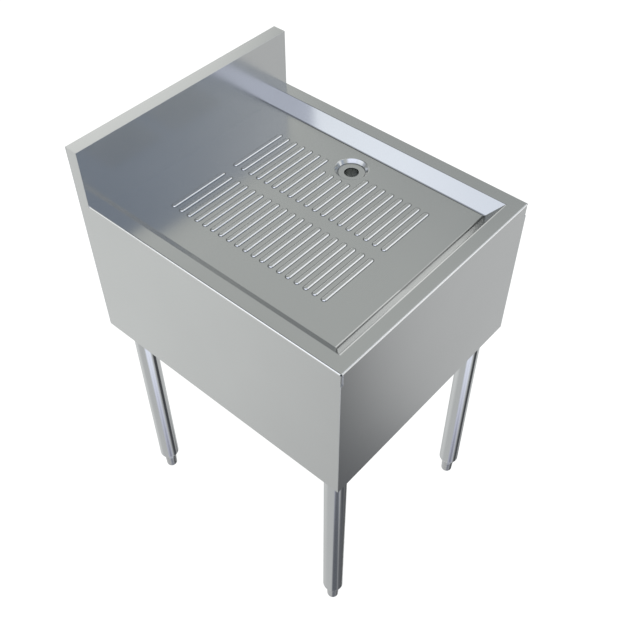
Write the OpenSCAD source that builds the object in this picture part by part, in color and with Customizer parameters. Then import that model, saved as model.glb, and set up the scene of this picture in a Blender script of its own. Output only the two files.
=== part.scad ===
// Underbar drainboard cabinet with a raised back, a sunk draining tray and four tube legs.
// Millimetres, +Z up. X runs along the front from left to right, +Y towards the wall.
// The origin is on the floor, under the middle of the cabinet.

/* [Cabinet] */
// Width over the side panels
body_w = 457.2; // [400:0.1:760]
// Depth from the front apron to the wall
body_d = 539.75; // [440:0.05:700]
// Height of the flat rim above the floor
rim_h = 749.3; // [600:0.5:900]
// Height of the apron, from its lower edge to the top of the rim
apron_h = 290.5; // [180:0.5:400]
// Thickness of the stainless sheet
sheet_t = 1.2; // [0.8:0.1:2]
// Width of the inward fold along the lower edges
lower_return = 12; // [8:0.5:14]
// Width of the inward fold at the front and back of each side panel
corner_return = 14; // [8:0.5:14.5]
// Width of the notch in the top corners of the apron
notch_w = 4.5; // [2:0.5:8]
// Height of that notch below the rim
notch_h = 25.4; // [5:0.1:60]

/* [Backsplash] */
// Rise of the backsplash above the rim
splash_h = 102.7; // [50:0.1:200]
// Depth of the backsplash from front to back
splash_depth = 25.4; // [15:0.1:60]
// Length of the lip folded down behind the backsplash
splash_lip = 25.4; // [10:0.1:40]
// Outer bend radius of the backsplash folds
fold_r = 2.2; // [2.1:0.1:6]
// Bend radius between the tray floor and the backsplash
cove_r = 1.5; // [1:0.1:12]

/* [Tray] */
// Width of the flat rim on the left, front and right
rim_w = 25.4; // [15:0.1:45]
// Depth of the tray at its left wall
tray_depth = 20.6; // [12:0.1:35]
// Further depth gained towards the drain side
tray_fall = 2.3; // [0.5:0.1:8]
// Outer radius of the rolled edge around the rim
rim_roll_r = 2.4; // [2:0.1:5]
// Length of the skirt folded down inside the panels
skirt_h = 19; // [8:0.5:20]

/* [Ribs] */
// Ribs in each of the two rows
rib_count = 19; // [4:1:22]
// Spacing of the ribs from front to back
rib_pitch = 17.53; // [12:0.01:18]
// Length of one rib at its foot
rib_len = 116.8; // [60:0.1:130]
// Clear strip between the two rows
rib_gap = 23.2; // [10:0.1:40]
// Width of a rib at its foot
rib_foot_w = 9.4; // [8:0.1:11]
// Width of the flat on top of a rib
rib_top_w = 5; // [3.4:0.1:6]
// Rise of a rib above the tray floor
rib_rise = 2; // [1.4:0.1:3]
// Middle of the rows, measured from the front of the cabinet
rib_mid = 277.4; // [250:0.1:300]

/* [Drain] */
// Drain centre from the right side of the cabinet
drain_in_x = 92.8; // [88:0.1:110]
// Drain centre from the front of the cabinet
drain_in_y = 282.6; // [220:0.1:320]
// Radius of the pressed recess at the tray floor
recess_r = 28.6; // [24:0.1:32]
// Radius of the flat at the bottom of the recess
recess_flat_r = 23; // [20:0.1:23.5]
// Depth of the recess
recess_depth = 7.4; // [4:0.1:12]
// Radius of the hole in the recess
drain_r = 12.4; // [8:0.1:13]
// Outer radius of the drain nipple
nipple_r = 16.7; // [14.5:0.1:18]
// Inner radius of the drain nipple
nipple_bore_r = 13.3; // [8:0.1:13.6]
// Length of the drain nipple below the recess
nipple_len = 50; // [25:1:90]
// Height of the six-sided collar at the top of the nipple
nipple_collar_h = 8; // [4:0.5:14]
// Width of that collar across its flats
nipple_collar_w = 38; // [37:0.5:42]

/* [Under-structure] */
// Width of the two leg channels
channel_w = 50; // [48:0.5:54]
// Drop of a leg channel's sides
channel_drop = 22; // [10:0.5:40]
// Sheet thickness of channels and stiffeners
channel_t = 2; // [1:0.1:3]
// Width of the crown of a cross stiffener
stiffener_w = 60; // [30:1:90]
// Depth of a cross stiffener
stiffener_drop = 20; // [8:0.5:30]
// Width of each flange of a cross stiffener
stiffener_flange = 14; // [8:0.5:20]
// Distance of each cross stiffener from the middle of the cabinet
stiffener_off = 125; // [110:1:150]
// Thickness of the lower corner plates
corner_plate_t = 2; // [1:0.5:5]
// How far a corner plate reaches past the leg's centre
corner_plate_reach = 29; // [24:0.5:40]

/* [Legs] */
// Outer radius of a leg tube
leg_r = 19.05; // [18:0.05:20.5]
// Wall of a leg tube
leg_wall = 1.5; // [1:0.1:3]
// Leg centre from the side of the cabinet
leg_in_x = 37; // [33.5:0.5:60]
// Leg centre from the front of the cabinet
leg_in_front = 35.5; // [33.5:0.5:60]
// Leg centre from the back of the cabinet
leg_in_back = 41; // [33.5:0.5:60]
// Lower end of the leg tubes above the floor
leg_bottom = 46; // [44.5:0.5:60]
// Wall of a leg socket
socket_wall = 2; // [1.5:0.1:2.1]
// Length of a leg socket
socket_len = 80; // [40:1:120]
// Thickness of the plate on top of a leg socket
socket_plate_t = 3; // [2:0.5:6]
// Radial clearance of a leg tube in its socket and corner plate
leg_clear = 0.2; // [0.1:0.05:0.4]
// Radius of a socket's set screw
screw_r = 4; // [2.5:0.1:5]

/* [Feet] */
// Length of the threaded insert in the foot of a leg
insert_len = 32; // [24:1:60]
// Radial clearance of the insert in the leg tube
insert_clear = 0.05; // [0.02:0.01:0.2]
// Radius of the threaded stem of a foot
stem_r = 7.9; // [5:0.1:10]
// Radial running clearance of the stem in its insert
stem_clear = 0.05; // [0.02:0.01:0.1]
// Length of the stem above the collar
stem_len = 50; // [45:1:80]
// Radius of the collar at the top of a foot
foot_collar_r = 12.8; // [12:0.1:16]
// Height of the collar above the floor
foot_collar_z = 30; // [20:0.5:31]
// Thickness of the collar
foot_collar_t = 10; // [3:0.5:10]
// Radius of a foot under its collar
foot_r = 11.7; // [9:0.1:12]
// Radius of a foot near the floor
foot_low_r = 10.8; // [8:0.1:11]
// Radius of the rounded edge on which a foot stands
foot_round = 4.5; // [1:0.1:6]

/* [Hidden] */

$fn = 64;
steel = "lightgray";
zinc = "darkgray";
dark_steel = "dimgray";

// Outer planes of the cabinet
x_side = body_w / 2;
y_front = -body_d / 2;
y_back = body_d / 2;
apron_z = rim_h - apron_h;
panel_z = rim_h - rim_roll_r;
splash_y = y_back - splash_depth;
splash_z = rim_h + splash_h;

// The floor gets deeper by this much for each millimetre to the right
floor_left = -x_side + rim_w + tray_depth;
floor_right = x_side - rim_w - tray_depth - tray_fall;
fall = tray_fall / (floor_right - floor_left);
fall_angle = atan(fall);
function floor_z(x) = rim_h - tray_depth - fall * (x - floor_left);

// Drain
drain_x = x_side - drain_in_x;
drain_y = y_front + drain_in_y;
recess_z = floor_z(drain_x) - recess_depth;
nipple_top = recess_z - sheet_t;

// Ribs next to the recess are cut short, clear of it by this much
rib_clear = 6;
rib_y0 = y_front + rib_mid - (rib_count - 1) / 2 * rib_pitch;
function rib_y(i) = rib_y0 + i * rib_pitch;
function beside_drain(y) = abs(y - drain_y) < recess_r + rib_foot_w / 2 + 1;
short_rib_len = drain_x - recess_r - rib_clear - rib_gap / 2;

// Legs, channels and sockets
leg_x = x_side - leg_in_x;
leg_y_front = y_front + leg_in_front;
leg_y_back = y_back - leg_in_back;
// A channel's web lies against the lowest part of the floor above it
function web_z(side) = floor_z(side * leg_x + channel_w / 2) - sheet_t;
socket_r = leg_r + leg_clear;
socket_sleeve_r = socket_r + socket_wall;
function leg_top(side) = web_z(side) - channel_t - socket_plate_t;

// The tray as a solid: its walls slope at 45 degrees and its floor falls to the right.
// grow moves the walls, the floor and the back plane outwards by one sheet thickness.
module tray_solid(grow) {
    wall_shift = grow * sqrt(2);
    left = -x_side + rim_w - wall_shift;
    right = x_side - rim_w + wall_shift;
    front = y_front + rim_w - wall_shift;
    back = splash_y + grow;
    deep_l = (tray_depth + grow + fall * (left - floor_left)) / (1 - fall);
    deep_r = (tray_depth + grow + fall * (right - floor_left)) / (1 + fall);
    polyhedron(
        points = [
            [left, front, rim_h], [right, front, rim_h], [right, back, rim_h], [left, back, rim_h],
            [left + deep_l, front + deep_l, rim_h - deep_l], [right - deep_r, front + deep_r, rim_h - deep_r],
            [right - deep_r, back, rim_h - deep_r], [left + deep_l, back, rim_h - deep_l]],
        faces = [[3, 2, 1, 0], [4, 5, 6, 7], [0, 1, 5, 4], [1, 2, 6, 5], [2, 3, 7, 6], [3, 0, 4, 7]]);
}

// The corner left over between a square corner and a bend of radius r, along the tray floor.
// The corner itself is at the floor, lowered by drop, and at the plane y = corner_y.
module cove_corner(r, drop, corner_y) {
    long = body_w;
    translate([0, corner_y, floor_z(0) - drop]) rotate([0, fall_angle, 0])
        difference() {
            translate([-long / 2, -r, 0]) cube([long, r, r]);
            translate([-long / 2 - 1, -r, r]) rotate([0, 90, 0]) cylinder(r = r, h = long + 2);
        }
}

// Half of a rib's cross-section: middle line, flat top, rounded shoulder and sloping side
module rib_half(foot, top, rise) {
    shoulder = (foot - top) / 2;
    polygon([[0, -1], [foot, -1], [foot, 0], [top + shoulder * 0.35, rise * 0.8], [top, rise], [0, rise]]);
}

// One rib with round ends; long is its length at the foot
module rib(long, foot_w, top_w, rise) {
    straight = long - foot_w;
    rotate([90, 0, 90]) translate([0, 0, -straight / 2]) linear_extrude(height = straight) {
        rib_half(foot_w / 2, top_w / 2, rise);
        mirror([1, 0]) rib_half(foot_w / 2, top_w / 2, rise);
    }
    for (end = [-1, 1])
        translate([end * straight / 2, 0, 0])
            rotate([0, 0, end * 90 - 180]) rotate_extrude(angle = 180, $fn = 32) rib_half(foot_w / 2, top_w / 2, rise);
}

// Both rows of ribs; inset makes the smaller pockets that the press leaves underneath
module ribs(inset) {
    for (i = [0 : rib_count - 1], side = [-1, 1]) {
        long = side > 0 && beside_drain(rib_y(i)) ? short_rib_len : rib_len;
        mid_x = side * (rib_gap + long) / 2;
        translate([mid_x, rib_y(i), floor_z(mid_x) - inset]) rotate([0, fall_angle, 0])
            rib(long - 2 * inset, rib_foot_w - 2 * inset, rib_top_w - inset, rib_rise);
    }
}

// Cross-section of the backsplash: front sheet, folded top and the lip behind it
module splash_section() {
    difference() {
        union() {
            translate([splash_y, panel_z]) square([splash_depth, splash_h + rim_roll_r - fold_r]);
            translate([splash_y + fold_r, rim_h]) square([splash_depth - 2 * fold_r, splash_h]);
            for (y = [splash_y + fold_r, y_back - fold_r]) translate([y, splash_z - fold_r]) circle(r = fold_r);
        }
        translate([splash_y + sheet_t, 0]) square([splash_depth - 2 * sheet_t, splash_z - fold_r]);
        translate([splash_y + fold_r, 0]) square([splash_depth - 2 * fold_r, splash_z - sheet_t]);
        for (y = [splash_y + fold_r, y_back - fold_r])
            translate([y, splash_z - fold_r]) circle(r = fold_r - sheet_t);
        translate([splash_y + sheet_t, 0]) square([splash_depth, splash_z - splash_lip]);
    }
}

// Quarter of a ring: the cross-section of the rolled edge, with its centre at the origin
module roll_section() {
    intersection() {
        difference() {
            circle(r = rim_roll_r);
            circle(r = rim_roll_r - sheet_t);
        }
        square([rim_roll_r, rim_roll_r]);
    }
}

// Rolled edge along the left, front and right of the rim, with a small relief cut at each corner
module rolled_rim() {
    side_long = splash_y - y_front - rim_roll_r;
    front_long = body_w - 2 * rim_roll_r;
    for (side = [0, 1]) mirror([side, 0, 0]) {
        translate([x_side - rim_roll_r, splash_y, panel_z]) rotate([90, 0, 0])
            linear_extrude(height = side_long) roll_section();
    }
    translate([-front_long / 2, y_front + rim_roll_r, panel_z]) mirror([0, 1, 0]) rotate([90, 0, 90])
        linear_extrude(height = front_long) roll_section();
}

// Pressed top: rim, sloped tray with ribs and drain recess, backsplash, and the skirt inside the panels
module drainboard_top() color(steel) {
    skirt_end = corner_return + sheet_t + 1;
    difference() {
        union() {
            difference() {
                union() {
                    translate([-x_side + rim_roll_r, y_front + rim_roll_r, rim_h - sheet_t])
                        cube([body_w - 2 * rim_roll_r, body_d - splash_depth - rim_roll_r, sheet_t]);
                    rolled_rim();
                    tray_solid(sheet_t);
                    translate([drain_x, drain_y, recess_z - sheet_t])
                        cylinder(r1 = recess_flat_r + sheet_t, r2 = recess_r + sheet_t, h = recess_depth + sheet_t);
                }
                tray_solid(0);
                cove_corner(cove_r + sheet_t, sheet_t, splash_y + sheet_t);
            }
            intersection() {
                tray_solid(0.01);
                cove_corner(cove_r, 0, splash_y);
            }
            ribs(0);
            translate([x_side, 0, 0]) rotate([90, 0, -90]) mirror([1, 0, 0])
                linear_extrude(height = body_w) splash_section();
            translate([-x_side + skirt_end, y_front + sheet_t, rim_h - sheet_t - skirt_h])
                cube([body_w - 2 * skirt_end, sheet_t, skirt_h + sheet_t / 2]);
            for (side = [-1, 1])
                translate([side * (x_side - 1.5 * sheet_t) - sheet_t / 2, y_front + skirt_end, rim_h - sheet_t - skirt_h])
                    cube([sheet_t, body_d - splash_depth - skirt_end, skirt_h + sheet_t / 2]);
        }
        ribs(sheet_t);
        translate([drain_x, drain_y, recess_z])
            cylinder(r1 = recess_flat_r, r2 = recess_r, h = recess_depth + 0.2);
        translate([drain_x, drain_y, recess_z - sheet_t - 1]) cylinder(r = drain_r, h = sheet_t + 2);
    }
}

// Front apron: one sheet across the full width, folded in along its lower edge
module front_apron() color(steel) {
    fold_w = body_w - 2 * (sheet_t + max(lower_return, corner_return));
    difference() {
        translate([-x_side, y_front, apron_z]) cube([body_w, sheet_t, panel_z - apron_z]);
        for (side = [-1, 1])
            translate([side * x_side - notch_w, y_front - 1, rim_h - notch_h]) cube([2 * notch_w, sheet_t + 2, notch_h]);
    }
    translate([-fold_w / 2, y_front, apron_z]) cube([fold_w, sheet_t + lower_return, sheet_t]);
}

// Side panel: L-shaped sheet that also closes the end of the backsplash, with folds at its edges
module side_panel(side) color(steel) {
    front = y_front + sheet_t;
    back = y_back - sheet_t;
    behind_splash = splash_y + sheet_t;
    fold = fold_r - sheet_t;
    mirror([side > 0 ? 1 : 0, 0, 0]) translate([-x_side, 0, 0]) {
        rotate([90, 0, 90]) linear_extrude(height = sheet_t)
            polygon([[front, apron_z], [back, apron_z], [back, splash_z - sheet_t - fold], [back - fold, splash_z - sheet_t],
                     [behind_splash + fold, splash_z - sheet_t], [behind_splash, splash_z - sheet_t - fold],
                     [behind_splash, panel_z], [front, panel_z]]);
        translate([0, front, apron_z]) cube([sheet_t + lower_return, back - front, sheet_t]);
        for (y = [front, back - sheet_t])
            translate([0, y, apron_z]) cube([sheet_t + corner_return, sheet_t, panel_z - apron_z]);
    }
}
module left_side_panel() side_panel(-1);
module right_side_panel() side_panel(1);

// Rear panel: closes the back from the lower edge up to the backsplash lip
module rear_panel() color(steel) {
    fold_w = body_w - 2 * (sheet_t + max(lower_return, corner_return));
    translate([-x_side, y_back - sheet_t, apron_z]) cube([body_w, sheet_t, splash_z - splash_lip - apron_z]);
    translate([-fold_w / 2, y_back - sheet_t - lower_return, apron_z]) cube([fold_w, lower_return + sheet_t, sheet_t]);
}

// Leg channel: runs front to back under the tray and carries two leg sockets
module leg_channel(side) color(steel) {
    gap = 2 * sheet_t + 1;
    long = body_d - 2 * gap;
    translate([side * leg_x - channel_w / 2, y_front + gap, web_z(side)]) {
        translate([0, 0, -channel_t]) cube([channel_w, long, channel_t]);
        for (x = [0, channel_w - channel_t]) translate([x, 0, -channel_drop]) cube([channel_t, long, channel_drop]);
    }
}
module left_leg_channel() leg_channel(-1);
module right_leg_channel() leg_channel(1);

// Cross stiffener: a hat section whose flanges lie against the tray floor between the leg channels
module stiffener(y) color(steel) {
    end_gap = 0.5;
    long = 2 * (leg_x - channel_w / 2 - end_gap);
    crown = stiffener_w / 2;
    translate([0, y, floor_z(0) - sheet_t / cos(fall_angle)]) rotate([0, fall_angle, 0])
        translate([-long / 2, 0, 0]) rotate([90, 0, 90]) linear_extrude(height = long) {
            for (end = [0, 1]) mirror([end, 0]) {
                translate([crown - channel_t, -channel_t]) square([stiffener_flange + channel_t, channel_t]);
                translate([crown - channel_t, -stiffener_drop]) square([channel_t, stiffener_drop]);
                translate([0, -stiffener_drop]) square([crown, channel_t]);
            }
        }
}
module front_stiffener() stiffener(-stiffener_off);
module rear_stiffener() stiffener(stiffener_off);

// Drain nipple: pipe with a six-sided collar, fixed under the recess
module drain_nipple() color(zinc)
    translate([drain_x, drain_y, nipple_top]) difference() {
        union() {
            translate([0, 0, -nipple_len]) cylinder(r = nipple_r, h = nipple_len);
            translate([0, 0, -nipple_collar_h]) rotate([0, 0, 30])
                cylinder(r = nipple_collar_w / sqrt(3), h = nipple_collar_h, $fn = 6);
        }
        translate([0, 0, -nipple_len - 1]) cylinder(r = nipple_bore_r, h = nipple_len + 2);
    }

// Leg socket: sleeve under a plate that is fixed inside the leg channel, drilled for a set screw
module socket(side, y) color(dark_steel)
    translate([side * leg_x, y, leg_top(side)]) difference() {
        union() {
            plate_w = channel_w - 2 * channel_t - 0.6;
            translate([-plate_w / 2, -plate_w / 2, 0]) cube([plate_w, plate_w, socket_plate_t]);
            translate([0, 0, -socket_len]) cylinder(r = socket_sleeve_r, h = socket_len);
        }
        translate([0, 0, -socket_len - 1]) cylinder(r = socket_r, h = socket_len + 1);
        translate([0, 0, -socket_len / 2]) rotate([0, -side * 90, 0]) cylinder(r = screw_r, h = socket_sleeve_r + 1);
    }
module socket_front_left() socket(-1, leg_y_front);
module socket_front_right() socket(1, leg_y_front);
module socket_rear_left() socket(-1, leg_y_back);
module socket_rear_right() socket(1, leg_y_back);

// One set screw in each socket, tight against its leg, with a hexagon recess
module socket_set_screws() color(dark_steel) {
    screw_len = socket_wall + leg_clear + 4;
    for (side = [-1, 1], y = [leg_y_front, leg_y_back])
        translate([side * leg_x, y, leg_top(side) - socket_len / 2]) rotate([0, -side * 90, 0])
            translate([0, 0, leg_r]) difference() {
                cylinder(r = screw_r - 0.05, h = screw_len);
                translate([0, 0, screw_len / 2]) cylinder(r = screw_r / 2, h = screw_len, $fn = 6);
            }
}

// Corner plate: lies on the lower folds and steadies the leg that passes through it
module corner_plate(side, y, end) color(dark_steel) {
    wall_gap = 2 * sheet_t + 0.4;
    in_y = end < 0 ? leg_in_front : leg_in_back;
    mirror([side < 0 ? 1 : 0, 0, 0]) translate([leg_x, y, apron_z + sheet_t]) mirror([0, end < 0 ? 1 : 0, 0])
        difference() {
            translate([-corner_plate_reach, -corner_plate_reach, 0])
                cube([corner_plate_reach + leg_in_x - wall_gap, corner_plate_reach + in_y - wall_gap, corner_plate_t]);
            translate([0, 0, -1]) cylinder(r = leg_r + leg_clear, h = corner_plate_t + 2);
        }
}
module corner_plate_front_left() corner_plate(-1, leg_y_front, -1);
module corner_plate_front_right() corner_plate(1, leg_y_front, -1);
module corner_plate_rear_left() corner_plate(-1, leg_y_back, 1);
module corner_plate_rear_right() corner_plate(1, leg_y_back, 1);

// Leg tube, from the top of its socket down to just above the foot
module leg(side, y) color(steel)
    translate([side * leg_x, y, 0]) difference() {
        translate([0, 0, leg_bottom]) cylinder(r = leg_r, h = leg_top(side) - leg_bottom);
        translate([0, 0, leg_bottom - 1]) cylinder(r = leg_r - leg_wall, h = leg_top(side) - leg_bottom + 2);
    }
module leg_front_left() leg(-1, leg_y_front);
module leg_front_right() leg(1, leg_y_front);
module leg_rear_left() leg(-1, leg_y_back);
module leg_rear_right() leg(1, leg_y_back);

// Threaded insert pressed into the lower end of a leg
module foot_insert(side, y) color(zinc)
    translate([side * leg_x, y, leg_bottom]) difference() {
        cylinder(r = leg_r - leg_wall - insert_clear, h = insert_len);
        translate([0, 0, -1]) cylinder(r = stem_r + stem_clear, h = insert_len + 2);
    }
module foot_insert_front_left() foot_insert(-1, leg_y_front);
module foot_insert_front_right() foot_insert(1, leg_y_front);
module foot_insert_rear_left() foot_insert(-1, leg_y_back);
module foot_insert_rear_right() foot_insert(1, leg_y_back);

// Adjustable foot: stem, collar and a tapered body that ends in a rounded edge
module foot(side, y) color(zinc)
    translate([side * leg_x, y, 0]) rotate_extrude() {
        collar_top = foot_collar_z + foot_collar_t;
        square([foot_low_r - foot_round, foot_collar_z]);
        intersection() {
            translate([foot_low_r - foot_round, foot_round]) circle(r = foot_round);
            square([foot_low_r, foot_round]);
        }
        polygon([[0, foot_round], [foot_low_r, foot_round], [foot_r, foot_collar_z], [0, foot_collar_z]]);
        translate([0, foot_collar_z]) square([foot_collar_r, foot_collar_t]);
        translate([0, collar_top]) square([stem_r, stem_len]);
    }
module foot_front_left() foot(-1, leg_y_front);
module foot_front_right() foot(1, leg_y_front);
module foot_rear_left() foot(-1, leg_y_back);
module foot_rear_right() foot(1, leg_y_back);

drainboard_top();
front_apron();
left_side_panel();
right_side_panel();
rear_panel();
left_leg_channel();
right_leg_channel();
front_stiffener();
rear_stiffener();
drain_nipple();
socket_front_left();
socket_front_right();
socket_rear_left();
socket_rear_right();
socket_set_screws();
corner_plate_front_left();
corner_plate_front_right();
corner_plate_rear_left();
corner_plate_rear_right();
leg_front_left();
leg_front_right();
leg_rear_left();
leg_rear_right();
foot_insert_front_left();
foot_insert_front_right();
foot_insert_rear_left();
foot_insert_rear_right();
foot_front_left();
foot_front_right();
foot_rear_left();
foot_rear_right();
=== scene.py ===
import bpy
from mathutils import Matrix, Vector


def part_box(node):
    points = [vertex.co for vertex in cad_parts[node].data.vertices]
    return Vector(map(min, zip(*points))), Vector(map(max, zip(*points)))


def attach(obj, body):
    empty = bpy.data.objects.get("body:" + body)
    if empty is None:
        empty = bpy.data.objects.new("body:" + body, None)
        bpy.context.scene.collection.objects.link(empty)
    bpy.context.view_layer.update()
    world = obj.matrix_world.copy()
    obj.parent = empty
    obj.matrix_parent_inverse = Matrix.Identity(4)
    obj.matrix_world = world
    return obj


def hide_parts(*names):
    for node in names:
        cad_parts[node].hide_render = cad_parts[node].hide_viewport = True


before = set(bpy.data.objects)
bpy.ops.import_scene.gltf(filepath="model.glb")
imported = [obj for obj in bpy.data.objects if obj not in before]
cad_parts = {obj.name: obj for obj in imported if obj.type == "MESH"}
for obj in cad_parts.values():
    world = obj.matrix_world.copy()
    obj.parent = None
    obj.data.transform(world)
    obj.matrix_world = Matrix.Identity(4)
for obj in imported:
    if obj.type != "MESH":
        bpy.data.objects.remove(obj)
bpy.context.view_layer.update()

from math import cos, pi, radians, sin, sqrt, tan

import bmesh
import bpy
from mathutils import Vector


# ---- Pressed top ----
# One sheet of fine brushed stainless steel: flat rim with a rolled edge, sunk tray with ribs and a drain recess,
# and the backsplash. It is pressed and bent from flat sheet, 1.2 mm thick, and the tray's corners are mitred,
# welded and ground flush.
sheet = 0.0012
top_low, top_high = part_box("drainboard_top")
side_x = top_high.x
front_y, wall_y = top_low.y, top_high.y
splash_height, splash_depth, splash_lip = 0.1027, 0.0254, 0.0254
rim_z = top_high.z - splash_height
splash_front = wall_y - splash_depth
splash_top = top_high.z
rim_width = 0.0254
tray_depth, tray_fall = 0.0206, 0.0023
tray_left = -side_x + rim_width + tray_depth
tray_right = side_x - rim_width - tray_depth - tray_fall
roll_radius, fold_radius = 0.0024, 0.0005
bend_steps = 6


def tray_floor(x):
    """Height of the tray's floor, which falls from left to right."""
    return rim_z - tray_depth - tray_fall * (x - tray_left) / (tray_right - tray_left)


def arc(start, end, steps):
    """Evenly spaced angles in radians, from one angle in degrees to another."""
    return [radians(start + (end - start) * i / steps) for i in range(steps + 1)]


class SheetSkin:
    """The upper face of a sheet, joined point by point; sheet_piece gives it its thickness afterwards."""

    deepest_shade = 0.7

    def __init__(self):
        self.mesh = bmesh.new()
        # Point masks mixed into the steel's colour: painted shade in creases, painted highlight on bends and shoulders
        self.crease = self.mesh.verts.layers.float.new("crease")
        self.painted_highlight = self.mesh.verts.layers.float.new("painted_highlight")
        self.points = {}

    def point(self, x, y, z):
        key = (round(x, 6), round(y, 6), round(z, 6))
        if key not in self.points:
            self.points[key] = self.mesh.verts.new((x, y, z))
        return self.points[key]

    def paint_shade(self, line, amount):
        """Paints shade on the points of a line: a dark line where a tight crease lets little light in."""
        for p in line:
            self.point(*p)[self.crease] = amount * self.deepest_shade

    def paint_highlight(self, line, amount):
        """Paints a highlight on the points of a line: a bright line where a bend catches the light."""
        for p in line:
            self.point(*p)[self.painted_highlight] = amount

    def face(self, corners):
        kept = []
        for corner in corners:
            if corner not in kept:
                kept.append(corner)
        if len(kept) > 2 and self.mesh.faces.get(kept) is None:
            self.mesh.faces.new(kept)

    def strip(self, first, second):
        """Faces between two lines with the same number of points."""
        first = [self.point(*p) for p in first]
        second = [self.point(*p) for p in second]
        for i in range(len(first) - 1):
            self.face((first[i], first[i + 1], second[i + 1], second[i]))

    def ring_edges(self, ring):
        ring = [self.point(*p) for p in ring]
        return [self.mesh.edges.get((a, b)) or self.mesh.edges.new((a, b)) for a, b in zip(ring, ring[1:] + ring[:1])]

    def ring_steps(self, rings):
        for first, second in zip(rings, rings[1:]):
            self.strip(first + first[:1], second + second[:1])


# The edge of the rim is rolled over, tighter at the sides than at the front: distance from the edge and drop
side_roll = [(roll_radius + roll_radius * cos(angle), roll_radius * sin(angle) - roll_radius)
             for angle in arc(180, 90, bend_steps)]
front_roll = [(0.0, -0.0024), (0.00008, -0.0022), (0.0003, -0.0016), (0.00053, -0.0010), (0.0009, -0.0005),
              (0.0014, -0.00015), (0.0020, 0.0)]

# Radii of the bends above and below the tray's walls
side_bend, right_foot_bend, front_bend = 0.0012, 0.0030, 0.0080


def wall_inset(drop, depth, upper, lower):
    """How far from the edge the 45 degree wall is at a given drop, with the radii of its upper and lower bends."""
    rise = depth - drop
    if drop < upper * (1 - cos(pi / 4)):
        return rim_width - upper * tan(pi / 8) + sqrt(upper ** 2 - (upper - drop) ** 2)
    if rise < lower * (1 - cos(pi / 4)):
        return rim_width + depth + lower * tan(pi / 8) - sqrt(lower ** 2 - (lower - rise) ** 2)
    return rim_width + drop


def wall_profiles(depth, foot_bend):
    """Points from the rolled edge over the rim and down the wall, for a side and for the front: inset and drop."""
    drops = [front_bend * (1 - cos(angle)) for angle in arc(0, 45, 5)]
    drops += [depth - front_bend * (1 - cos(angle)) for angle in [radians(60)] + arc(45, 0, 5)]
    side = side_roll + [(wall_inset(drop, depth, side_bend, foot_bend), -drop) for drop in drops]
    front = front_roll + [(wall_inset(drop, depth, front_bend, front_bend), -drop) for drop in drops]
    return side, front


left_wall, left_front = wall_profiles(tray_depth, side_bend)
right_wall, right_front = wall_profiles(tray_depth + tray_fall, right_foot_bend)
last_step = len(left_wall) - 1


def wall_point(x, y, drop, last):
    """A point of the rim or wall; the last one of each line lies on the tray's floor."""
    return (x, y, tray_floor(x) if last else rim_z + drop)


def back_column(x, z, last):
    """One line of the sheet from the foot of the backsplash up its front and down behind it."""
    column = [(x, splash_front, tray_floor(x) if last else z)]
    for start, end, y in ((180, 90, splash_front + fold_radius), (90, 0, wall_y - fold_radius)):
        for angle in arc(start, end, bend_steps):
            column.append((x, y + fold_radius * cos(angle), splash_top - fold_radius + fold_radius * sin(angle)))
    column.append((x, wall_y, splash_top - splash_lip))
    return column


# The two lines that meet at each mitred corner, one from the side's bends and one from the front's
corner_lines = {}
for side, profile, front in ((-1, left_wall, left_front), (1, right_wall, right_front)):
    across, along = [], []
    for i, ((inset, drop), (front_inset, front_drop)) in enumerate(zip(profile, front)):
        rolled = i < len(side_roll)
        corner_x = side * (side_x - (roll_radius if rolled else inset))
        corner_y = front_y + (front_roll[-1][0] if rolled else front_inset)
        across.append(wall_point(side * (side_x - inset), corner_y, drop, i == last_step))
        along.append(wall_point(corner_x, front_y + front_inset, front_drop, i == last_step))
    corner_lines[side] = across, along
corner_gap = 0.0006


def beside_corner(side, front):
    """The same bends a little way from the mitred corner, along the front or back along the side."""
    across, along = corner_lines[side]
    line = []
    for i, (x, y, z) in enumerate(along if front else across):
        x, y = (x - side * corner_gap, y) if front else (x, y + corner_gap)
        line.append(wall_point(x, y, z - rim_z, i == last_step))
    return line


skin = SheetSkin()
side_starts = {side: beside_corner(side, False) for side in (-1, 1)}
front_ends = {side: beside_corner(side, True) for side in (-1, 1)}
columns, side_ends = {}, {}
for side, profile in ((-1, left_wall), (1, right_wall)):
    columns[side] = []
    for i, (inset, drop) in enumerate(profile):
        columns[side].append(back_column(side * (side_x - inset), rim_z + drop, i == last_step))
    side_ends[side] = [(x, splash_front - corner_gap, z) for x, y, z in side_starts[side]]
    skin.strip(corner_lines[side][0], side_starts[side])
    skin.strip(side_starts[side], side_ends[side])
    skin.strip(side_ends[side], [column[0] for column in columns[side]])
    skin.strip(corner_lines[side][1], front_ends[side])
    for first, second in zip(columns[side], columns[side][1:]):
        skin.strip(first, second)

# The painted shade at the foot of the front wall deepens over a short stretch; to the left of it the shade is faint
soft_to, deep_from = -0.040, -0.034
front_middle = [[wall_point(x, y, z - rim_z, i == last_step) for i, (_, y, z) in enumerate(front_ends[-1])]
                for x in (soft_to, deep_from)]
for first, second in zip([front_ends[-1]] + front_middle, front_middle + [front_ends[1]]):
    skin.strip(first, second)

# The weld at each corner is ground round where the two rolled edges meet; the mitre and the points beside it get
# painted shade, where the corner is a dark hollow
weld_in_x, weld_in_y = 0.0006, 0.00078
weld_start, weld_end = 3, len(side_roll)
weld_shade, beside_weld_shade = 1.43, 1.2
for side, (across, along) in corner_lines.items():
    mitre = [(side * (side_x - weld_in_x), front_y + weld_in_y, z) for _, _, z in across[:weld_start]]
    for p, q in zip(across[weld_start:weld_end], along[weld_start:weld_end]):
        mitre.append(tuple((a + b) / 2 for a, b in zip(p, q)))
    skin.strip(across[:weld_end], mitre)
    skin.strip(mitre, along[:weld_end])
    skin.paint_shade(mitre[:-1], weld_shade)
    skin.paint_shade(across[:weld_start + 1] + along[:weld_start + 1], beside_weld_shade)
skin.strip(columns[-1][-1], columns[1][-1])
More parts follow.
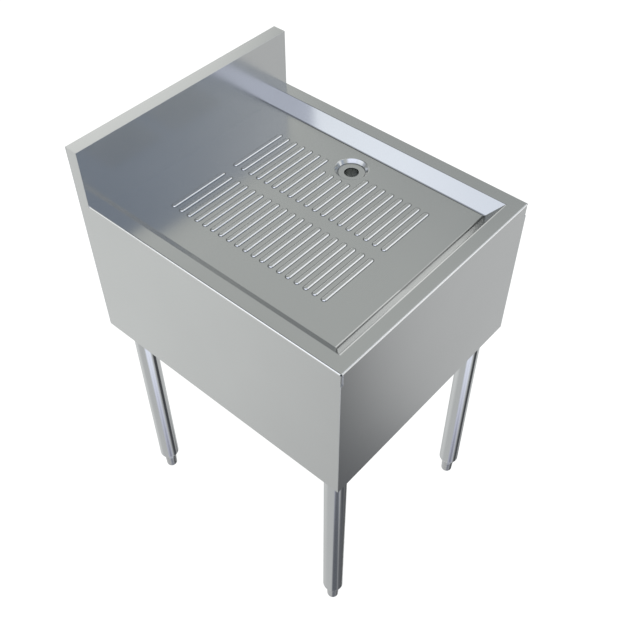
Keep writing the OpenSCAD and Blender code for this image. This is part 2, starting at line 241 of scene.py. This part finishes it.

# Raised ribs: two rows of nineteen, pressed up 2 mm, four of them cut short beside the drain. Each step has the
# radius of the rib's outline and its height above the floor. Their feet get painted shade, and the front sides of
# their shoulders a painted highlight.
ribs_in_row, rib_pitch, rib_length, rib_foot_radius, row_gap = 19, 0.01753, 0.1168, 0.0047, 0.0232
rib_middle = 0.2774
rib_first_y = front_y + rib_middle - ribs_in_row // 2 * rib_pitch
drain_x, drain_y = side_x - 0.0928, front_y + 0.2826
recess_radius, recess_depth = 0.0286, 0.0074
rib_clearance, side_clearance = 0.006, 0.001
rib_steps = ((0.0054, 0.0), (0.0051, 0.0), (0.0047, 0.0), (0.0043, 0.0004), (0.00385, 0.0009), (0.0035, 0.00132),
             (0.0033, 0.00152), (0.0030, 0.00172), (0.0027, 0.00186), (0.0024, 0.00195), (0.0021, 0.00199),
             (0.0017, 0.002))
foot_steps, shoulder_steps = slice(1, 4), slice(4, 8)
highlight_from = 0.0015
floor_edges = []
for row in (-1, 1):
    for i in range(ribs_in_row):
        y = rib_first_y + i * rib_pitch
        short = row > 0 and abs(y - drain_y) < recess_radius + rib_foot_radius + side_clearance
        length = drain_x - recess_radius - rib_clearance - row_gap / 2 if short else rib_length
        middle = row * (row_gap + length) / 2
        rings = []
        for radius, rise in rib_steps:
            ring = []
            for end, start_angle in ((1, -90), (-1, 90)):
                for angle in arc(start_angle, start_angle + 180, 12):
                    x = middle + end * (length - 2 * rib_foot_radius) / 2 + radius * cos(angle)
                    ring.append((x, y + radius * sin(angle), tray_floor(x) + rise))
            rings.append(ring)
        skin.ring_steps(rings)
        for ring in rings[foot_steps]:
            skin.paint_shade(ring, 1.0)
        for ring in rings[shoulder_steps]:
            skin.paint_highlight([p for p in ring if p[1] < y - highlight_from], 1.0)
        skin.face([skin.point(*p) for p in rings[-1]])
        floor_edges += skin.ring_edges(rings[0])

# Drain recess: a dished circle with a hole for the nipple. Each step has its radius, its share of the way from the
# floor down to the recess's bottom, and its drop below that. The dish's upper wall gets a faint painted highlight,
# and its foot and the hole painted shade.
recess_bottom = tray_floor(drain_x) - recess_depth
recess_points, dish_highlight = 72, 0.3
recess_steps = ((0.0296, 0.0, 0.0), (0.0290, 0.0, 0.0001), (0.0285, 0.0, 0.0004), (0.0280, 0.1, 0.0),
                (0.0242, 0.8, 0.0), (0.0234, 0.93, 0.0), (0.0227, 0.98, 0.0), (0.0219, 1.0, 0.0),
                (0.0131, 1.0, 0.0), (0.0127, 1.0, 0.0001), (0.0125, 1.0, 0.0003), (0.0124, 1.0, 0.0006),
                (0.0124, 1.0, 0.0026))
rings = []
for radius, share, drop in recess_steps:
    ring = []
    for angle in arc(0, 360, recess_points)[:-1]:
        x, y = drain_x + radius * cos(angle), drain_y + radius * sin(angle)
        ring.append((x, y, tray_floor(x) * (1 - share) + recess_bottom * share - drop))
    rings.append(ring)
skin.ring_steps(rings)
for ring in rings[3:5]:
    skin.paint_highlight(ring, dish_highlight)
for step, amount in ((4, 0.1), (5, 1.0), (6, 1.0), (-1, 1.0), (-2, 1.0), (-3, 0.7)):
    skin.paint_shade(rings[step], amount)
floor_edges += skin.ring_edges(rings[0])
floor_outline = (side_ends[-1], side_starts[-1], corner_lines[-1][0], front_ends[-1], *front_middle, front_ends[1],
                 corner_lines[1][0], side_starts[1], side_ends[1])
floor_edges += skin.ring_edges([columns[-1][-1][0], *(line[-1] for line in floor_outline), columns[1][-1][0]])

# Painted shade along the foot of the front wall and the bends of the right wall, by their step on the way down,
# and a lighter painted shade on the left wall
left_wall_steps = slice(len(side_roll) + 4, -3)
for step, soft, deep in ((-7, 0.0, 0.3), (-6, 0.3, 1.0), (-5, 1.0, 1.0), (-4, 1.0, 1.0), (-3, 0.8, 1.0),
                         (-2, 0.0, 0.3)):
    skin.paint_shade([front_ends[-1][step], front_middle[0][step]], soft)
    skin.paint_shade([front_ends[1][step], front_middle[1][step]], deep)
for line in (side_starts[1], side_ends[1]):
    for step, amount in ((8, 0.5), (9, 0.5), (-5, 0.8), (-4, 1.0), (-3, 0.8)):
        skin.paint_shade([line[step]], amount)
for line, amount in ((side_starts[-1], 0.45), (side_ends[-1], 0.0)):
    skin.paint_shade(line[left_wall_steps], amount)

# Painted highlight on the bends of the rim's edge
side_edge_steps, front_edge_steps = slice(1, 5), slice(0, 5)
for line in (*side_starts.values(), *side_ends.values()):
    skin.paint_highlight(line[side_edge_steps], 1.0)
for line in (*front_ends.values(), *front_middle):
    skin.paint_highlight(line[front_edge_steps], 1.0)
bmesh.ops.triangle_fill(skin.mesh, use_beauty=True, use_dissolve=False, edges=floor_edges, normal=(0, 0, 1))
bmesh.ops.recalc_face_normals(skin.mesh, faces=skin.mesh.faces)
largest = max(skin.mesh.faces, key=lambda face: face.calc_area())
if largest.normal.z < largest.normal.y:
    bmesh.ops.reverse_faces(skin.mesh, faces=skin.mesh.faces)


def finish_shading(piece, crease):
    """Smooth over bends, crisp at edges, and dead flat on flat sheet."""
    piece.data.polygons.foreach_set("use_smooth", [True] * len(piece.data.polygons))
    piece.data.set_sharp_from_angle(angle=radians(crease))
    flat = piece.modifiers.new("flat sheet", "WEIGHTED_NORMAL")
    flat.mode, flat.weight, flat.keep_sharp = "FACE_AREA", 100, True


def sheet_piece(name, mesh, crease=40):
    """A piece of sheet from its skin: thickened inwards, smooth over bends and crisp at cut edges."""
    data = bpy.data.meshes.new(name)
    mesh.to_mesh(data)
    mesh.free()
    piece = bpy.data.objects.new(name, data)
    bpy.context.scene.collection.objects.link(piece)
    press = piece.modifiers.new("thickness", "SOLIDIFY")
    press.thickness, press.offset = sheet, -1
    bpy.context.view_layer.update()
    thick = bpy.data.meshes.new_from_object(piece.evaluated_get(bpy.context.evaluated_depsgraph_get()))
    piece.modifiers.clear()
    piece.data = thick
    thick.name = name
    bpy.data.meshes.remove(data)
    finish_shading(piece, crease)
    return piece


pressed_top = sheet_piece("pressed_top", skin.mesh)


def add_step(tree, kind, at, **values):
    """One node of a material, with the values of its sockets and settings."""
    step = tree.nodes.new(kind)
    step.location = at
    for name, value in values.items():
        socket = step.inputs.get(name.replace("_", " "))
        if socket is not None:
            socket.default_value = value
        else:
            setattr(step, name, value)
    return step


# Brushing: fine parallel scratches left by the abrasive belt, with faint cloudy patches from polishing by hand
brushing = bpy.data.node_groups.new("brushed grain", "ShaderNodeTree")
brushing.interface.new_socket("Along", in_out="INPUT", socket_type="NodeSocketVector")
brushing.interface.new_socket("Patch Size", in_out="INPUT", socket_type="NodeSocketFloat")
brushing.interface.new_socket("Scratches", in_out="OUTPUT", socket_type="NodeSocketFloat")
brushing.interface.new_socket("Patches", in_out="OUTPUT", socket_type="NodeSocketFloat")
entry = add_step(brushing, "NodeGroupInput", (-900, 0))
leave = add_step(brushing, "NodeGroupOutput", (500, 0))
place = add_step(brushing, "ShaderNodeTexCoord", (-900, -250))
stretch = add_step(brushing, "ShaderNodeVectorMath", (-650, 100), operation="MULTIPLY")
brushing.links.new(place.outputs["Object"], stretch.inputs[0])
brushing.links.new(entry.outputs["Along"], stretch.inputs[1])
fine = add_step(brushing, "ShaderNodeTexNoise", (-400, 200), Scale=1.0, Detail=3.0, Roughness=0.6)
brushing.links.new(stretch.outputs[0], fine.inputs["Vector"])
cloud = add_step(brushing, "ShaderNodeTexNoise", (-400, -200), Detail=2.0, Roughness=0.5)
brushing.links.new(place.outputs["Object"], cloud.inputs["Vector"])
brushing.links.new(entry.outputs["Patch Size"], cloud.inputs["Scale"])
brushing.links.new(fine.outputs["Fac"], leave.inputs["Scratches"])
brushing.links.new(cloud.outputs["Fac"], leave.inputs["Patches"])


def brushed_steel(name, colour, roughness, along, patch_size=9.0, spread=0.03):
    """Brushed stainless steel, with painted highlight and shade from point masks; along holds the scratch count per
    metre in X, Y and Z.
    """
    darkest, lightest = 0.94, 1.05
    scratch_share, patch_share = 0.25, 0.45
    faintest_scratch, deepest_scratch = 0.3, 0.7
    highlight_colour, painted_shade_colour = (0.98, 0.98, 0.98, 1), (0.0, 0.005, 0.01, 1)
    steel = bpy.data.materials.new(name)
    steel.use_nodes = True
    steel.diffuse_color = (*colour, 1)
    tree = steel.node_tree
    tree.nodes.clear()
    result = add_step(tree, "ShaderNodeOutputMaterial", (700, 0))
    surface = add_step(tree, "ShaderNodeBsdfPrincipled", (400, 0), Metallic=1.0)
    tree.links.new(surface.outputs[0], result.inputs["Surface"])
    grain = add_step(tree, "ShaderNodeGroup", (-600, 0), node_tree=brushing)
    grain.inputs["Along"].default_value = along
    grain.inputs["Patch Size"].default_value = patch_size
    tone = add_step(tree, "ShaderNodeMix", (-200, 250), data_type="RGBA")
    tone.inputs["A"].default_value = (*[c * darkest for c in colour], 1)
    tone.inputs["B"].default_value = (*[min(c * lightest, 1) for c in colour], 1)
    mixing = add_step(tree, "ShaderNodeMath", (-400, 250), operation="MULTIPLY_ADD")
    mixing.inputs[1].default_value = scratch_share
    tree.links.new(grain.outputs["Scratches"], mixing.inputs[0])
    soften = add_step(tree, "ShaderNodeMath", (-600, 300), operation="MULTIPLY")
    soften.inputs[1].default_value = patch_share
    tree.links.new(grain.outputs["Patches"], soften.inputs[0])
    tree.links.new(soften.outputs[0], mixing.inputs[2])
    tree.links.new(mixing.outputs[0], tone.inputs["Factor"])
    # Painted highlight: the points' highlight mask mixes near white into the colour
    highlight_mask = add_step(tree, "ShaderNodeAttribute", (-400, 700), attribute_name="painted_highlight")
    bright = add_step(tree, "ShaderNodeMix", (-50, 400), data_type="RGBA")
    bright.inputs["B"].default_value = highlight_colour
    tree.links.new(highlight_mask.outputs["Fac"], bright.inputs["Factor"])
    tree.links.new(tone.outputs["Result"], bright.inputs["A"])
    # Painted shade: the crease mask mixes near black into the colour
    shade = add_step(tree, "ShaderNodeAttribute", (-200, 500), attribute_name="crease")
    deep = add_step(tree, "ShaderNodeMix", (100, 300), data_type="RGBA")
    deep.inputs["B"].default_value = painted_shade_colour
    tree.links.new(shade.outputs["Fac"], deep.inputs["Factor"])
    tree.links.new(bright.outputs["Result"], deep.inputs["A"])
    tree.links.new(deep.outputs["Result"], surface.inputs["Base Color"])
    rough = add_step(tree, "ShaderNodeMapRange", (-200, -50), From_Min=faintest_scratch, From_Max=deepest_scratch,
                     To_Min=roughness - spread / 2, To_Max=roughness + spread / 2)
    tree.links.new(grain.outputs["Scratches"], rough.inputs["Value"])
    tree.links.new(rough.outputs["Result"], surface.inputs["Roughness"])
    relief = add_step(tree, "ShaderNodeBump", (100, -300), Strength=0.01, Distance=0.0002)
    tree.links.new(grain.outputs["Scratches"], relief.inputs["Height"])
    tree.links.new(relief.outputs[0], surface.inputs["Normal"])
    return steel


top_steel = brushed_steel("brushed_top", (0.61, 0.617, 0.618), 0.19, (10.0, 1500.0, 1500.0), spread=0.02)
pressed_top.data.materials.append(top_steel)
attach(pressed_top, "cabinet")
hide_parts("drainboard_top")


# ---- Skirt under the rim ----
# The rim's edge is folded down inside the panels, so that the top can be tack welded to them. Three strips of
# the same sheet, each bent over a small radius, with their ends cut back at the corners.
skirt_drop, skirt_bend, skirt_reach = 0.0190, 0.0018, 0.011
skirt_end = 0.0162
under_rim = rim_z - sheet


def skirt_strip(name, start, end, inward):
    """A bent strip from start to end; inward points from the panel towards the middle of the cabinet."""
    inward = Vector(inward)
    strip_skin = SheetSkin()
    lines = []
    for at in (Vector(start), Vector(end)):
        line = [at + inward * skirt_reach]
        for angle in arc(90, 180, 5):
            down = Vector((0, 0, skirt_bend * sin(angle) - skirt_bend))
            line.append(at + inward * (skirt_bend + skirt_bend * cos(angle)) + down)
        line.append(at + Vector((0, 0, -skirt_drop)))
        lines.append([tuple(p) for p in line])
    strip_skin.strip(*lines)
    bmesh.ops.recalc_face_normals(strip_skin.mesh, faces=strip_skin.mesh.faces)
    flat = max(strip_skin.mesh.faces, key=lambda face: face.calc_area())
    if flat.normal.dot(inward) > 0:
        bmesh.ops.reverse_faces(strip_skin.mesh, faces=strip_skin.mesh.faces)
    strip = sheet_piece(name, strip_skin.mesh)
    strip.data.materials.append(top_steel)
    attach(strip, "cabinet")
    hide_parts("drainboard_top")


skirt_strip("front_skirt", (-side_x + skirt_end, front_y + sheet, under_rim),
            (side_x - skirt_end, front_y + sheet, under_rim), (0, 1, 0))
for name, side in (("left_skirt", -1), ("right_skirt", 1)):
    panel_x = side * (side_x - sheet)
    skirt_strip(name, (panel_x, front_y + skirt_end, under_rim), (panel_x, splash_front, under_rim), (-side, 0, 0))


# ---- Panels ----
# Front apron, side panels and rear panel: flat brushed stainless sheet with its lower edges and corners folded
# in. The side panels also close the ends of the backsplash. Edges are broken slightly by the belt.
def eased_copy(node, name, edge, steel):
    """A piece with its CAD shape, its edges eased by a small rounding, and its own steel."""
    same_point, same_plane, rounded_angle, crisp_angle = 0.000004, radians(0.5), radians(40), 30
    work = bmesh.new()
    work.from_mesh(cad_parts[node].data)
    bmesh.ops.remove_doubles(work, verts=work.verts, dist=same_point)
    bmesh.ops.dissolve_limit(work, angle_limit=same_plane, verts=work.verts, edges=work.edges)
    data = bpy.data.meshes.new(name)
    work.to_mesh(data)
    work.free()
    piece = bpy.data.objects.new(name, data)
    bpy.context.scene.collection.objects.link(piece)
    ease = piece.modifiers.new("eased edges", "BEVEL")
    ease.width, ease.segments, ease.limit_method, ease.angle_limit = edge, 2, "ANGLE", rounded_angle
    data.materials.append(steel)
    finish_shading(piece, crisp_angle)
    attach(piece, "cabinet")
    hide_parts(node)


apron_steel = brushed_steel("brushed_apron", (0.61, 0.615, 0.617), 0.2, (10.0, 1500.0, 1500.0), spread=0.02)
side_steel = brushed_steel("brushed_side", (0.61, 0.617, 0.612), 0.2, (1500.0, 10.0, 1500.0), spread=0.02)
for node, name, steel in (("front_apron", "apron_sheet", apron_steel), ("rear_panel", "rear_sheet", apron_steel),
                          ("left_side_panel", "left_sheet", side_steel),
                          ("right_side_panel", "right_sheet", side_steel)):
    eased_copy(node, name, 0.0002, steel)


# ---- Under-structure ----
# Leg channels, cross stiffeners and corner plates: mill finish sheet, folded in a press brake and spot welded
# under the tray and to the lower folds of the panels.
corners = ("front_left", "front_right", "rear_left", "rear_right")
mill_steel = brushed_steel("mill_sheet", (0.50, 0.51, 0.52), 0.38, (90.0, 700.0, 700.0), patch_size=22.0, spread=0.12)
for node in ("left_leg_channel", "right_leg_channel", "front_stiffener", "rear_stiffener",
             *("corner_plate_" + corner for corner in corners)):
    eased_copy(node, node + "_sheet", 0.0004, mill_steel)


# ---- Drain nipple ----
# A length of 1 inch stainless pipe with a six-sided collar, welded under the recess, so that a waste pipe can be
# screwed or clamped on. Machined all over.
nipple_steel = brushed_steel("drain_nipple_steel", (0.5, 0.515, 0.5), 0.33, (200.0, 200.0, 2500.0), patch_size=40.0)
eased_copy("drain_nipple", "drain_pipe", 0.0005, nipple_steel)


# ---- Leg sockets and set screws ----
# A steel plate and sleeve welded together and fixed inside each leg channel. A dark plated set screw in the
# sleeve holds the leg.
socket_steel = brushed_steel("socket_steel", (0.42, 0.43, 0.44), 0.42, (160.0, 160.0, 900.0), patch_size=30.0,
                             spread=0.14)
screw_steel = brushed_steel("set_screw_steel", (0.20, 0.20, 0.21), 0.40, (900.0, 900.0, 900.0), patch_size=60.0)
for corner in corners:
    eased_copy("socket_" + corner, "leg_socket_" + corner, 0.0005, socket_steel)
eased_copy("socket_set_screws", "set_screws", 0.0003, screw_steel)


# ---- Legs ----
# Welded stainless tube, 38.1 mm across with a 1.5 mm wall, polished along its length. It is cut square, with its
# edges eased and a narrow chamfer at the lower end.
tube_steel = brushed_steel("leg_tube_steel", (0.64, 0.65, 0.655), 0.12, (900.0, 900.0, 10.0), patch_size=14.0,
                           spread=0.02)
tube_wall, tube_ease = 0.0015, 0.0004
tube_chamfer = ((0.0008, 0.0), (0.00065, 0.0001), (0.00009, 0.0016), (0.0, 0.0021))


def turned(name, outline, centre, sides=96, twist=0.0):
    """A piece turned on a lathe. Each point of its outline has a radius, a height, and a lead: 1 on a thread,
    which climbs by twist in one turn, and 0 elsewhere."""
    on_axis, same_point = 1e-6, 1e-7
    work = bmesh.new()
    rings = []
    for radius, height, lead in outline:
        if radius < on_axis:
            rings.append([work.verts.new((centre[0], centre[1], height))] * sides)
            continue
        ring = []
        for i in range(sides):
            angle = 2 * pi * i / sides
            x, y = centre[0] + radius * cos(angle), centre[1] + radius * sin(angle)
            ring.append(work.verts.new((x, y, height + lead * twist * i / sides)))
        rings.append(ring)
    for first, second in zip(rings, rings[1:]):
        for i in range(sides):
            j = (i + 1) % sides
            kept = []
            for vertex in (first[i], first[j], second[j], second[i]):
                if vertex not in kept:
                    kept.append(vertex)
            if len(kept) > 2:
                work.faces.new(kept)
    bmesh.ops.remove_doubles(work, verts=work.verts, dist=same_point)
    bmesh.ops.recalc_face_normals(work, faces=work.faces)
    data = bpy.data.meshes.new(name)
    work.to_mesh(data)
    work.free()
    piece = bpy.data.objects.new(name, data)
    bpy.context.scene.collection.objects.link(piece)
    return piece


def without_lead(outline):
    return [(radius, height, 0.0) for radius, height in outline]


for corner in corners:
    low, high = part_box("leg_" + corner)
    centre = ((low.x + high.x) / 2, (low.y + high.y) / 2)
    outer = (high.x - low.x) / 2
    inner = outer - tube_wall
    outline = [(outer - inset, low.z + rise) for inset, rise in tube_chamfer]
    for radius, height, turn in ((outer - tube_ease, high.z - tube_ease, 0),
                                 (inner + tube_ease, high.z - tube_ease, 90),
                                 (inner + tube_ease, low.z + tube_ease, 180)):
        for angle in arc(turn, turn + 90, 3):
            outline.append((radius + tube_ease * cos(angle), height + tube_ease * sin(angle)))
    tube = turned("leg_tube_" + corner, without_lead(outline + outline[:1]), centre)
    tube.data.materials.append(tube_steel)
    finish_shading(tube, 50)
    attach(tube, "cabinet")
    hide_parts("leg_" + corner)


# ---- Foot inserts ----
# Cast zinc plugs, plated and pressed into the lower ends of the legs. Each is threaded for the stem of its
# foot.
insert_zinc = brushed_steel("insert_zinc", (0.48, 0.49, 0.50), 0.40, (500.0, 500.0, 500.0), patch_size=50.0,
                            spread=0.16)
for corner in corners:
    eased_copy("foot_insert_" + corner, "threaded_insert_" + corner, 0.0004, insert_zinc)


# ---- Feet ----
# Turned and polished stainless: a threaded stem, a collar for the spanner, and a tapered body whose lower edge
# is rounded, so that the cabinet slides without marking the floor.
foot_steel = brushed_steel("foot_steel", (0.58, 0.585, 0.59), 0.24, (300.0, 300.0, 1800.0), patch_size=60.0)
sole_flat, sole_round = 0.0063, 0.0045
neck_radius, neck_shape = 0.0117, ((0.0001, 0.0012), (0.0, 0.0002))
collar_low, collar_high, collar_bore = 0.0300, 0.0400, 0.0083
collar_round = 0.0011
collar_chamfer = ((0.0, 0.0021), (0.0001, 0.0019), (0.0017, 0.0001), (0.0019, 0.0))
stem_radius, stem_tip, stem_tip_low = 0.0079, 0.0062, 0.0068
thread_pitch, thread_depth = 0.0018, 0.0007
thread_start, tip_chamfer, tip_length = 0.0008, 0.0004, 0.002
thread_root = stem_radius - thread_depth
thread_shape = ((thread_root, 0.0), (thread_root, 0.12), (stem_radius, 0.46), (stem_radius, 0.66))
for corner in corners:
    low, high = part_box("foot_" + corner)
    centre = ((low.x + high.x) / 2, (low.y + high.y) / 2)
    collar_radius = (high.x - low.x) / 2
    outline = [(0.0, 0.0), (sole_flat, 0.0)]
    for angle in arc(-90, 0, 8)[1:]:
        outline.append((sole_flat + sole_round * cos(angle), sole_round + sole_round * sin(angle)))
    outline += [(neck_radius - inset, collar_low - depth) for inset, depth in neck_shape]
    for angle in arc(-90, 0, 5):
        outline.append((collar_radius - collar_round + collar_round * cos(angle),
                        collar_low + collar_round + collar_round * sin(angle)))
    outline += [(collar_radius - inset, collar_high - depth) for inset, depth in collar_chamfer]
    outline.append((collar_bore, collar_high))
    body = turned("foot_body_" + corner, without_lead(outline), centre, sides=72)
    body.data.materials.append(foot_steel)
    finish_shading(body, 50)
    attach(body, "adjustable_foot_" + corner)
    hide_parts("foot_" + corner)
    thread = [(0.0, collar_high - thread_start, 0.0), (thread_root, collar_high - thread_start, 0.0)]
    height = collar_high - thread_start / 2
    while height < high.z - thread_pitch - tip_length:
        thread += [(radius, height + thread_pitch * share, 1.0) for radius, share in thread_shape]
        height += thread_pitch
    thread += [(thread_root, height, 1.0), (stem_tip_low, high.z - tip_chamfer, 0.0), (stem_tip, high.z, 0.0),
               (0.0, high.z, 0.0)]
    stem = turned("foot_stem_" + corner, thread, centre, sides=48, twist=thread_pitch)
    stem.data.materials.append(foot_steel)
    finish_shading(stem, 35)
    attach(stem, "adjustable_foot_" + corner)
    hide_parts("foot_" + corner)


# ---- Studio ----
# A white floor and white surroundings to the camera, as in a catalogue picture. What the metal reflects is pale
# too, but not even: soft patches of light and shade lie around the cabinet, each in its own direction.
studio = bpy.data.worlds.new("studio_air")
bpy.context.scene.world = studio
studio.use_nodes = True
tree = studio.node_tree
tree.nodes.clear()
place = add_step(tree, "ShaderNodeTexCoord", (-1500, 0))
split = add_step(tree, "ShaderNodeSeparateXYZ", (-1300, 0))
tree.links.new(place.outputs["Generated"], split.inputs[0])
rise = add_step(tree, "ShaderNodeMapRange", (-1100, 0), From_Min=-1.0, From_Max=1.0, To_Min=0.0, To_Max=1.0)
tree.links.new(split.outputs["Z"], rise.inputs["Value"])
ramp = add_step(tree, "ShaderNodeValToRGB", (-900, 0))
heights = ((0.0, (0.64, 0.65, 0.65)), (0.35, (0.66, 0.67, 0.67)), (0.55, (0.55, 0.57, 0.56)), (1.0, (0.57, 0.59, 0.57)))
while len(ramp.color_ramp.elements) < len(heights):
    ramp.color_ramp.elements.new(0.5)
for element, (position, colour) in zip(ramp.color_ramp.elements, heights):
    element.position, element.color = position, (*colour, 1)
tree.links.new(rise.outputs["Result"], ramp.inputs["Fac"])


def light_zone(before, turn, height, inner, outer, colour):
    """A soft round patch of the surroundings: its direction, the angles where it is full and gone, its colour."""
    step = len(tree.nodes) * 30
    turn, height = radians(turn), radians(height)
    facing = Vector((cos(turn) * cos(height), sin(turn) * cos(height), sin(height)))
    towards = add_step(tree, "ShaderNodeVectorMath", (-600 + step, -300), operation="DOT_PRODUCT")
    towards.inputs[1].default_value = facing
    tree.links.new(place.outputs["Generated"], towards.inputs[0])
    edge = add_step(tree, "ShaderNodeMapRange", (-450 + step, -300), interpolation_type="SMOOTHSTEP",
                    From_Min=cos(radians(outer)), From_Max=cos(radians(inner)), To_Min=0.0, To_Max=1.0)
    tree.links.new(towards.outputs["Value"], edge.inputs["Value"])
    blend = add_step(tree, "ShaderNodeMix", (-300 + step, 0), data_type="RGBA")
    blend.inputs["B"].default_value = (*colour, 1)
    tree.links.new(edge.outputs["Result"], blend.inputs["Factor"])
    tree.links.new(before, blend.inputs["A"])
    return blend.outputs["Result"]


# In degrees: the patch's turn from +X towards +Y and its height, and where it is full and gone. Later ones lie
# over earlier ones. The low ones, under the horizon, show mostly in the apron, the left panel and the legs.
zones = (
    (112, -30, 12, 38, (0.83, 0.845, 0.84)),
    (64, 18, 15, 24, (1.22, 1.23, 1.20)),
    (60, 23, 3, 9, (0.98, 0.99, 0.97)),
    (22, 26, 8, 20, (0.42, 0.44, 0.44)),
    (155, 40, 12, 27, (1.08, 1.14, 1.28)),
    (138, 35, 5, 14, (1.30, 1.37, 1.48)),
    (215, 38, 20, 36, (1.08, 1.14, 1.34)),
    (116, 30, 9, 18, (0.26, 0.28, 0.29)),
    (150, 8, 14, 24, (0.88, 0.89, 0.88)),
    (88, 56, 12, 22, (0.10, 0.105, 0.10)),
    (306, 36, 16, 30, (0.41, 0.475, 0.585)),
    (332, 36, 8, 20, (1.0, 1.03, 1.06)),
    (304.5, 19, 7, 10, (1.12, 1.13, 1.12)),
    (310, -14, 7, 11, (0.96, 0.97, 0.98)),
    (350, 58, 8, 15, (1.4, 1.4, 1.4)),
    (238, -50, 10, 20, (0.60, 0.61, 0.75)),
    (226, -32, 13, 24, (1.30, 1.36, 1.52)),
    (252, -32, 13, 24, (1.30, 1.36, 1.52)),
    (300, -60, 5, 18.5, (0.145, 0.15, 0.165)),
    (303, -47, 8, 15, (0.08, 0.085, 0.09)),
    (240, -68, 9, 16, (0.15, 0.16, 0.18)),
    (350, -70, 13, 19, (0.12, 0.125, 0.13)),
    (20, -73, 10, 16, (1.0, 1.0, 1.0)),
)
light = ramp.outputs["Color"]
for zone in zones:
    light = light_zone(light, *zone)

# The camera sees plain white instead of the patches, and rays that only light the scene see an even grey
right = len(tree.nodes) * 30
rays = add_step(tree, "ShaderNodeLightPath", (right - 400, 500))
whiten = add_step(tree, "ShaderNodeMix", (right, 200), data_type="RGBA")
whiten.inputs["B"].default_value = (1, 1, 1, 1)
tree.links.new(rays.outputs["Is Camera Ray"], whiten.inputs["Factor"])
tree.links.new(light, whiten.inputs["A"])
seen = add_step(tree, "ShaderNodeBackground", (right + 200, 200))
tree.links.new(whiten.outputs["Result"], seen.inputs["Color"])
soft = add_step(tree, "ShaderNodeBackground", (right + 200, 0), Color=(0.62, 0.63, 0.64, 1))
either = add_step(tree, "ShaderNodeMath", (right, 500), operation="MAXIMUM")
tree.links.new(rays.outputs["Is Camera Ray"], either.inputs[0])
tree.links.new(rays.outputs["Is Glossy Ray"], either.inputs[1])
looked_at = add_step(tree, "ShaderNodeMath", (right + 200, 500), operation="MAXIMUM")
tree.links.new(either.outputs[0], looked_at.inputs[0])
tree.links.new(rays.outputs["Is Transmission Ray"], looked_at.inputs[1])
pick = add_step(tree, "ShaderNodeMixShader", (right + 450, 100))
tree.links.new(looked_at.outputs[0], pick.inputs["Fac"])
tree.links.new(soft.outputs[0], pick.inputs[1])
tree.links.new(seen.outputs[0], pick.inputs[2])
result = add_step(tree, "ShaderNodeOutputWorld", (right + 650, 100))
tree.links.new(pick.outputs[0], result.inputs["Surface"])

# Floor: grey paint that takes the shadow, with a white glow for the camera only
half, floor_glow = 12, 0.92
floor_mesh = bpy.data.meshes.new("studio_floor")
floor_mesh.from_pydata([(-half, -half, 0), (half, -half, 0), (half, half, 0), (-half, half, 0)], [], [(0, 1, 2, 3)])
studio_floor = bpy.data.objects.new("studio_floor", floor_mesh)
bpy.context.scene.collection.objects.link(studio_floor)
studio_floor.visible_glossy = False
floor_paint = bpy.data.materials.new("studio_floor_paint")
floor_paint.use_nodes = True
tree = floor_paint.node_tree
tree.nodes.clear()
result = add_step(tree, "ShaderNodeOutputMaterial", (700, 0))
both = add_step(tree, "ShaderNodeAddShader", (500, 0))
tree.links.new(both.outputs[0], result.inputs["Surface"])
paint = add_step(tree, "ShaderNodeBsdfDiffuse", (250, 100), Color=(0.30, 0.30, 0.30, 1))
tree.links.new(paint.outputs[0], both.inputs[0])
rays = add_step(tree, "ShaderNodeLightPath", (-100, -100))
glow = add_step(tree, "ShaderNodeMath", (80, -100), operation="MULTIPLY")
glow.inputs[1].default_value = floor_glow
tree.links.new(rays.outputs["Is Camera Ray"], glow.inputs[0])
white = add_step(tree, "ShaderNodeEmission", (250, -100), Color=(1, 1, 1, 1))
tree.links.new(glow.outputs[0], white.inputs["Strength"])
tree.links.new(white.outputs[0], both.inputs[1])
floor_mesh.materials.append(floor_paint)


# ---- Camera ----
# Stands at the front left, a little above the tray, with a 50 mm lens. Its place and turn were solved from ten
# corners of the object, so that the picture is framed as the photograph is.
tilt, turn = 42.113, -49.069
lens = bpy.data.cameras.new("photo_camera")
lens.lens, lens.sensor_width = 50, 36
photo_camera = bpy.data.objects.new("photo_camera", lens)
bpy.context.scene.collection.objects.link(photo_camera)
photo_camera.location = (-0.7947, -0.7241, 1.6606)
photo_camera.rotation_euler = (radians(tilt), 0, radians(turn))
bpy.context.scene.camera = photo_camera
bpy.context.scene.view_settings.view_transform = "Standard"
